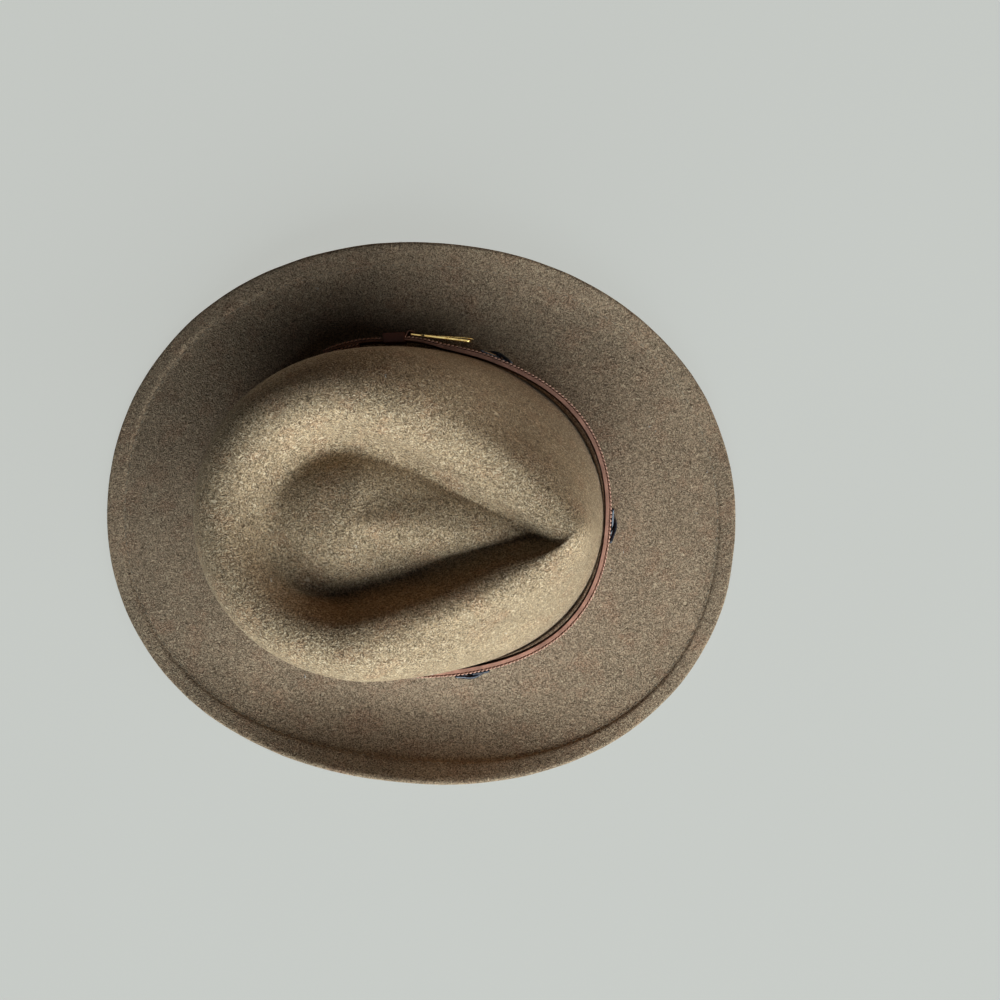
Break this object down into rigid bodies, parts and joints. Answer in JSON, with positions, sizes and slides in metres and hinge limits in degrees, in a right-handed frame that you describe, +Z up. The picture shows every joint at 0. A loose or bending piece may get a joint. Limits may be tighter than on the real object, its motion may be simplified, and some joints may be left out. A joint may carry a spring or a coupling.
{
  "type": "fedora hat",
  "caption": "Felt fedora with a teardrop crown, front pinches, a wide curled brim with a doubled edge and a narrow leather band with brass buckle and crossed lace.",
  "frame": {"origin": "on the floor that the brim rests on, under the middle of the brim's length and width", "axes": "+X towards the front of the hat, +Y towards the wearer's left, +Z up"},
  "size_m": [0.345, 0.2812, 0.1223],
  "materials": {
    "felt": "brown wool or fur felt with a short nap",
    "leather": "reddish brown, smooth, with pale cut edges",
    "lace": "glossy blue-black",
    "brass": "polished"
  },
  "bodies": {
    "root": {"felt_body": "felt", "hatband": "leather", "keeper_loop": "leather", "buckle_tab": "leather", "buckle_frame": "brass", "buckle_prong": "brass", "lace_1_under": "lace", "lace_1_over": "lace", "lace_2_under": "lace", "lace_2_over": "lace", "lace_3_under": "lace", "lace_3_over": "lace", "lace_4_under": "lace", "lace_4_over": "lace", "lace_5_under": "lace", "lace_5_over": "lace"}
  },
  "joints": []
}
